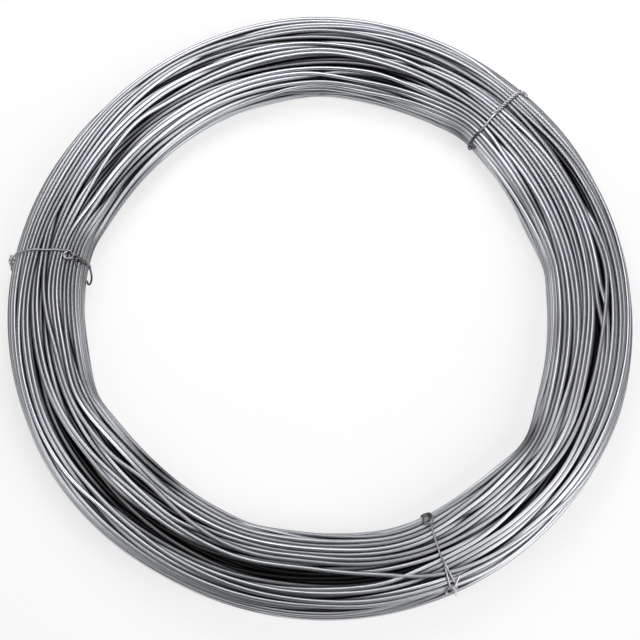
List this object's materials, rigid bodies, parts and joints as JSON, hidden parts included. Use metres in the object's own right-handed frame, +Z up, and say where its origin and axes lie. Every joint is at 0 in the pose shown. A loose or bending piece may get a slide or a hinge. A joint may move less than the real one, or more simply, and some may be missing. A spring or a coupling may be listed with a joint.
{
  "type": "coil of steel wire",
  "caption": "Flat-lying ring coil of bright galvanised steel wire, its wound turns bound by thin twisted wire ties, with an open eye through the middle.",
  "frame": {"origin": "centre of the coil's eye on the floor that the coil lies on", "axes": "+Z up along the eye; the picture is taken from the -Y side and above, so +X is to its right and +Y to its top"},
  "size_m": [0.3646, 0.3646, 0.0305],
  "materials": {
    "wire": "drawn and galvanised, satin bright",
    "tie_wire": "annealed, dull grey"
  },
  "bodies": {
    "root": {"coil": "wire", "tie_left": "tie_wire", "tie_back_right": "tie_wire", "tie_front_right": "tie_wire"}
  },
  "joints": []
}
